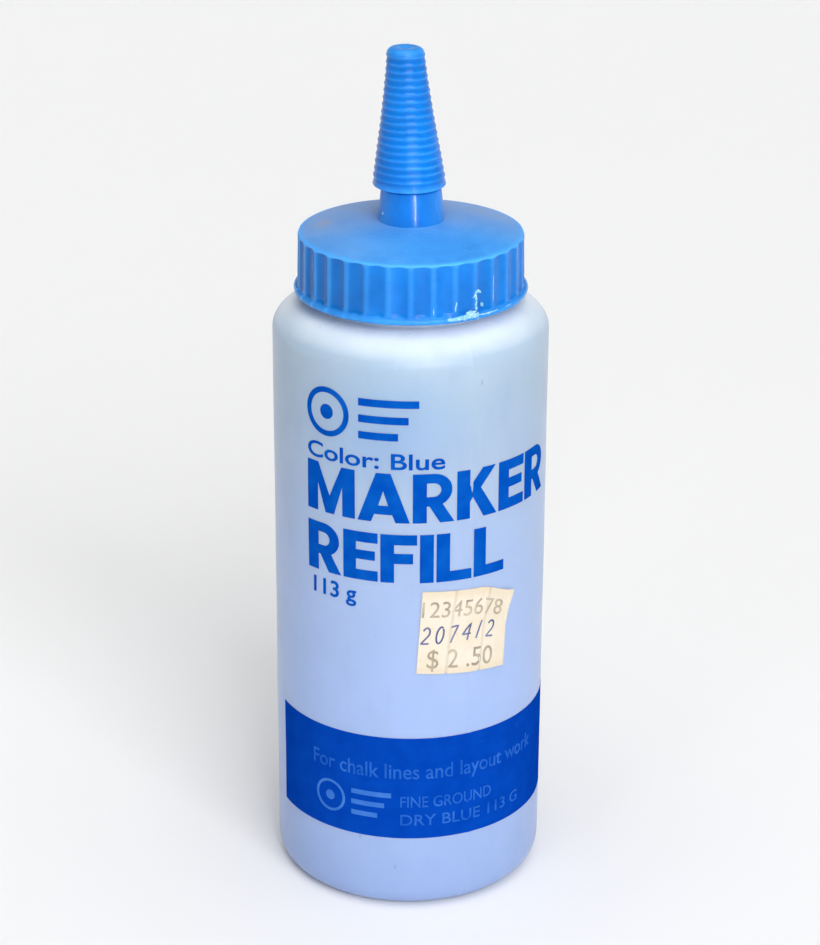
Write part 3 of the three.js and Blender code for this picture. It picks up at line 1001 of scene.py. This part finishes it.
def block_letters():
    """Heavy capitals one unit tall: each is its width and its outlines."""
    wide = 0.65
    arm = 0.43
    bowl = rounded(0.37, 0.67, 0.33, -62, 90, 12)
    eye = arc(0.37, 0.67, 0.13, 0.14, -90, 90, 8)
    return {
        "I": (STEM, [[(0, 0), (STEM, 0), (STEM, 1), (0, 1)]]),
        "L": (wide, [[(0, 0), (wide, 0), (wide, BAR), (STEM, BAR), (STEM, 1), (0, 1)]]),
        "F": (wide, [[
            (0, 0), (STEM, 0), (STEM, 0.4), (0.58, 0.4), (0.58, 0.4 + BAR), (STEM, 0.4 + BAR),
            (STEM, 1 - BAR), (wide, 1 - BAR), (wide, 1), (0, 1)]]),
        "E": (wide, [[
            (0, 0), (wide, 0), (wide, BAR), (STEM, BAR), (STEM, arm), (0.6, arm),
            (0.6, arm + BAR - 0.02), (STEM, arm + BAR - 0.02), (STEM, 1 - BAR),
            (wide, 1 - BAR), (wide, 1), (0, 1)]]),
        "M": (1.02, [[
            (0, 0), (STEM, 0), (STEM, 0.6), (0.42, 0), (0.6, 0), (1.02 - STEM, 0.6),
            (1.02 - STEM, 0), (1.02, 0), (1.02, 1), (0.76, 1), (0.51, 0.36), (0.26, 1), (0, 1)]]),
        "A": (0.94, [
            [(0, 0), (0.25, 0), (0.31, 0.16), (0.63, 0.16), (0.69, 0), (0.94, 0), (0.6, 1), (0.34, 1)],
            [(0.38, 0.34), (0.56, 0.34), (0.47, 0.64)]]),
        "R": (0.74, [
            [(0, 0), (STEM, 0), (STEM, 0.34), (0.29, 0.34), (0.48, 0), (0.74, 0)] + bowl + [(0, 1)],
            [(STEM, 0.53)] + eye + [(STEM, 0.81)]]),
        "K": (0.8, [[
            (0, 0), (STEM, 0), (STEM, 0.34), (0.3, 0.44), (0.52, 0), (0.8, 0), (0.46, 0.6),
            (0.77, 1), (0.5, 1), (STEM, 0.65), (STEM, 1), (0, 1)]]),
    }


def heading_row(word, low_z):
    """A word in heavy capitals, one filled shape for each letter."""
    letters = block_letters()
    at = 0
    parts = []
    for letter in word:
        width, outlines = letters[letter]
        stretched = HEADING_HEIGHT * HEADING_STRETCH
        mesh = sized(flat_curve(outlines), width * stretched, HEADING_HEIGHT)
        left = HEADING_LEFT + math.degrees(at * stretched / BODY_R)
        parts.append(bent(mesh, on_wall(left, low_z)))
        at += width + LETTER_GAP
    return parts


def emblem(left, low_z, height, ring_width=0.22, **options):
    """A plain sign: a ring round a disc, and three short rules beside it."""
    half = height / 2
    shapes = [rounded(half, half, half * r, 0, 354, 59) for r in (1, 1 - ring_width)]
    shapes.append(rounded(half, half, half * 0.3, 0, 350, 35))
    start = height * 1.2
    rule = height * 0.15
    for i, length in enumerate((1.18, 0.98, 0.78)):
        low = height * (0.76 - 0.335 * i)
        end = start + height * length
        shapes.append([(start, low), (end, low), (end, low + rule), (start, low + rule)])
    mesh = sized(flat_curve(shapes), height * 2.38, height)
    return bent(mesh, on_wall(left, low_z), **options)


def printing():
    """The ink on the wall. All its words are plain ones that fit any such bottle."""
    deep = ink("heading_ink", "#0248aa", "#0956b4")
    heading = [letter for word, low_z in HEADING_ROWS for letter in heading_row(word, low_z)]
    settle(joined("printed_heading", heading), "bottle", "print_ink", deep)
    small = [
        emblem(HEADING_LEFT, 91.6, 9),
        text_line("Color: Blue", HEADING_LEFT + 0.2, 14.3, 87.2, 2.9, 0.014),
        text_line("113 g", -43.6, -22.4, 61.4, 3, 0.016),
    ]
    settle(joined("printed_small_lines", small), "bottle", "print_ink", deep)
    settle(band(), "bottle", "print_ink", ink("band_ink", "#033ca2", "#0542aa", 0.3))
    pale = ink("pale_band_ink", "#2f68be", "#4478c8", 0.4)
    faint = ink("faint_band_ink", "#1a55b4", "#3168bf", 0.4)
    raised = {"sink": 0, "stand": INK_STAND + 0.04}
    words = [
        text_line("For chalk lines and layout work", -44.6, 64, 27.1, 2.9, 0.006, **raised),
        text_line("FINE GROUND", -3.5, 37.4, 21.3, 2.2, 0.006, **raised),
        text_line("DRY BLUE 113 G", -3.5, 54, 17.6, 2.2, 0.006, **raised),
    ]
    settle(joined("printed_band_lines", words), "bottle", "print_ink", faint)
    sign = emblem(-43, 18.2, 6.4, 0.16, **raised)
    settle(joined("printed_band_emblem", [sign]), "bottle", "print_ink", pale)


def band():
    """The broad printed band, a thin shell of ink round the wall."""
    columns = math.ceil(BODY_R * math.radians(BAND_RIGHT - BAND_LEFT) / PRINT_STEP)
    azimuths = spaced(BAND_LEFT, BAND_RIGHT, columns)
    heights = spaced(BAND_LOW_Z, BAND_HIGH_Z, 12)

    def grid(offset):
        return [[around(a, wall_radius(a, z) + offset, z) for a in azimuths] for z in heights]

    return slab("printed_band", grid(INK_STAND), grid(-INK_SINK))


# The sticker. A place on it is a share of its width and a share of its height.


def label_place(across, up):
    """Azimuth and height on the sticker. Its right edge is torn."""
    low, high = LABEL_BOX
    left = mix(*LABEL_LEFT, up)
    foot, turn, head = LABEL_RIGHT
    share = up / LABEL_TEAR
    torn = mix(foot, turn, share) if share < 1 else mix(turn, head, (up - LABEL_TEAR) / (1 - LABEL_TEAR))
    top = high.z + 0.1 - 0.9 * across - 1.8 * smooth((across - 0.6) / 0.4)
    bottom = low.z - 0.3 - 1.3 * across + 0.35 * crease(across, 0, 0.012)
    return mix(left, torn, across), mix(bottom, top, up)


def crease(across, up, half):
    """1 in the middle of one of the sticker's two creases, which lean, fading over half its width."""
    offs = [across - middle + 0.03 * (1 - up) for middle in LABEL_CREASES]
    return sum(math.exp(-((off / half) ** 2)) for off in offs)


def label_face(across, up):
    """Azimuth, radius and height of the sticker's back. It lifts at its creases and its loose corner."""
    azimuth, z = label_place(across, up)
    lift = 0.03 + 0.16 * crease(across, up, 0.014) + 0.12 * smooth((across - 0.93) / 0.07)
    lift += 0.5 * smooth((across - 0.8) / 0.2) * smooth((up - 0.7) / 0.3)
    return azimuth, wall_radius(azimuth, z) + lift, z


def label_grid(offset):
    grid = []
    for up in spaced(0, 1, 40):
        faces = [label_face(across, up) for across in spaced(0, 1, 96)]
        grid.append([around(azimuth, radius + offset, z) for azimuth, radius, z in faces])
    return grid


def label_shares(place):
    """The shares of the sticker's width and height at a point on it."""
    azimuth = azimuth_of(place)
    across = up = 0.5
    for _ in range(4):
        low = label_place(across, 0)[1]
        up = clamp((place.z - low) / (label_place(across, 1)[1] - low))
        left = label_place(0, up)[0]
        across = clamp((azimuth - left) / (label_place(1, up)[0] - left))
    return across, up


def label_edge(place):
    """1 at the sticker's upper and lower edges, 0 inside."""
    up = label_shares(place)[1]
    return 1 - smooth(min(up, 1 - up) / 0.15)


def label_crease_shade(place):
    """1 in the sticker's creases, where painted shade darkens the paper."""
    return clamp(crease(*label_shares(place), 0.011))


def price_label():
    made = slab("price_sticker", label_grid(LABEL_THICK), label_grid(0))
    paint(made, "edge", label_edge)
    paint(made, "crease", label_crease_shade)
    settle(made, "bottle", "label_paper", paper(), "price_label")


def on_label(left, low):
    """Lays flat art on the sticker from shares of its width and height."""

    def place_at(x, y):
        azimuth, radius, z = label_face(left + x / LABEL_WIDTH, low + y / LABEL_HEIGHT)
        return azimuth, radius + LABEL_THICK, z

    return place_at


def stamped_line(text, left, right, low, height):
    """A line of faded figures between two shares of the sticker's width."""
    mesh = sized(flat_text(text, 0), (right - left) * LABEL_WIDTH, height)
    return bent(mesh, on_label(left, low), sink=0.02, stand=0.05)


def sticker_marks():
    """Stamped figures in faded grey, and a row of figures in blue pen between them."""
    number = stamped_line("12345678", 0.01, 0.9, 0.69, 2.9)
    price = stamped_line("$ 2 .50", 0.1, 0.84, 0.07, 3.5)
    faded = ink("faded_stamp", "#968c7c", "#c4b8a2", 0.7)
    settle(joined("stamped_figures", [number, price]), "bottle", "label_paper", faded)
    pen = ink("pen_ink", "#49527e", "#7a80a2", 0.6)
    settle(joined("pen_figures", pen_strokes()), "bottle", "print_ink", pen)


def pen_strokes():
    """Figures written by hand: each is a path in its own box, one unit wide and tall."""
    one = [(0.35, 0), (0.65, 1)]
    zero = arc(0.5, 0.5, 0.36, 0.48, 60, 410, 16)
    two = arc(0.45, 0.7, 0.35, 0.28, 160, -40, 8) + [(0.1, 0.03), (0.9, 0.06)]
    four = [(0.75, 0.02), (0.82, 1), (0.1, 0.35), (0.98, 0.4)]
    seven = [(0.1, 0.9), (0.85, 0.98), (0.35, 0)]
    parts = []
    for i, figure in enumerate((two, zero, seven, four, one, two)):
        place_at = on_label(0.01 + PEN_STEP * i, 0.36 + 0.01 * i)
        path = []
        for (x0, y0), (x1, y1) in zip(figure, figure[1:]):
            path += line((x0, y0), (x1, y1), 6)[:-1]
        path.append(figure[-1])
        places = [place_at(PEN_WIDTH * (x + PEN_SLANT * y), PEN_HEIGHT * y) for x, y in path]
        path = [around(azimuth, radius + 0.02, z) for azimuth, radius, z in places]
        outwards = [around(azimuth, 1, 0) for azimuth, _, _ in places]
        parts.append(tube_mesh(path, [0.17] * len(path), outwards, 0.3))
    return parts


# The studio.

SKY_LEFT = 0.04
SKY_RIGHT = 0.16
GLINTS = ((-33, 0.25, 60), (8, 0.4, 24), (36, 0.25, 60))  # azimuths, watts and widths of tall soft boxes
GLINT_HEIGHT = 480
STRIP_PLACE = around(15, 300, 79)  # a strip here is mirrored as a streak up the front of the spout
STRIP_SIZE = (6, 30)
FLOOR_REACH = 3000
FLOOR_RISE = 900
FLOOR_DEPTH = 20
FLOOR_DROP = 0.02  # keeps the floor clear of the standing ring
LENS = 105.8
CAMERA_DISTANCE = 503
CAMERA_ELEVATION = math.radians(22.46)
CAMERA_AIM_Z = 76.6
CAMERA_ROLL = math.radians(0.25)


def camera():
    data = bpy.data.cameras.new("camera")
    data.lens = LENS
    holder = placed("camera", data)
    away = CAMERA_DISTANCE * math.cos(CAMERA_ELEVATION)
    rise = CAMERA_DISTANCE * math.sin(CAMERA_ELEVATION)
    place = Matrix.Translation(Vector((0, -away, CAMERA_AIM_Z + rise)) * MM)
    tilt = Matrix.Rotation(math.pi / 2 - CAMERA_ELEVATION, 4, "X")
    holder.matrix_world = place @ tilt @ Matrix.Rotation(CAMERA_ROLL, 4, "Z")
    bpy.context.scene.camera = holder


def studio_floor():
    """A pale floor that curves up far behind the object."""
    back = FLOOR_REACH + FLOOR_RISE
    profile = [(0, -FLOOR_DEPTH), (back, -FLOOR_DEPTH), (back, FLOOR_RISE)]
    profile += arc(FLOOR_REACH, FLOOR_RISE, FLOOR_RISE * 0.95, FLOOR_RISE, 0, -90, 12)
    profile += [(1000, 0), (200, 0), (0, 0)]
    made = revolve("floor", profile, even(96), sharp=60)
    made.location.z = -FLOOR_DROP * MM
    made.data.materials.append(stage_paper())


def sun(name, azimuth, elevation, strength, width):
    """A distant soft light. Its width is the angle that it fills."""
    data = bpy.data.lights.new(name, "SUN")
    data.energy = strength
    data.angle = math.radians(width)
    holder = placed(name, data)
    rise = math.sin(math.radians(elevation))
    source = around(azimuth, math.cos(math.radians(elevation)), rise)
    holder.rotation_euler = source.to_track_quat("Z", "Y").to_euler()


def panel(name, place, aim, size, power, spread=180):
    """A soft box at a place in millimetres, which the camera doesn't see."""
    data = bpy.data.lights.new(name, "AREA")
    data.shape = "RECTANGLE"
    data.size = size[0] * MM
    data.size_y = size[1] * MM
    data.energy = power
    data.spread = math.radians(spread)
    holder = placed(name, data)
    holder.location = Vector(place) * MM
    holder.rotation_euler = (Vector(place) - Vector(aim)).to_track_quat("Z", "Y").to_euler()
    holder.visible_camera = False


def sky():
    """Even light from all round, dimmer from the left."""
    s = Shader("sky", "worlds")
    across = s.add("SeparateXYZ", {0: s.add("TexCoord", {}, "Generated")}, "X")
    span = {"Value": across, "From Min": -1, "To Min": SKY_LEFT, "To Max": SKY_RIGHT}
    light = s.add("Background", {"Color": color("#f6f8fb"), "Strength": s.add("MapRange", span)})
    bpy.context.scene.world = s.end("World", light)


def lights():
    sky()
    sun("overhead", 10, 82, 1.68, 60)
    sun("key", 17, 24, 2.92, 44)
    for azimuth, power, width in GLINTS:
        place = around(azimuth, 620, 640)
        panel(f"glint_{azimuth}", place, (0, 0, CAP_EDGE_Z), (width, GLINT_HEIGHT), power)
    panel("strip", STRIP_PLACE, (0, 0, SPOUT_TOP_Z), STRIP_SIZE, 0.0011, 10)


bpy.context.scene.view_settings.view_transform = "Standard"
camera()
lights()
studio_floor()
bottle()
powder()
gasket()
spout_cap()
tip_cap()
crust()
printing()
price_label()
sticker_marks()
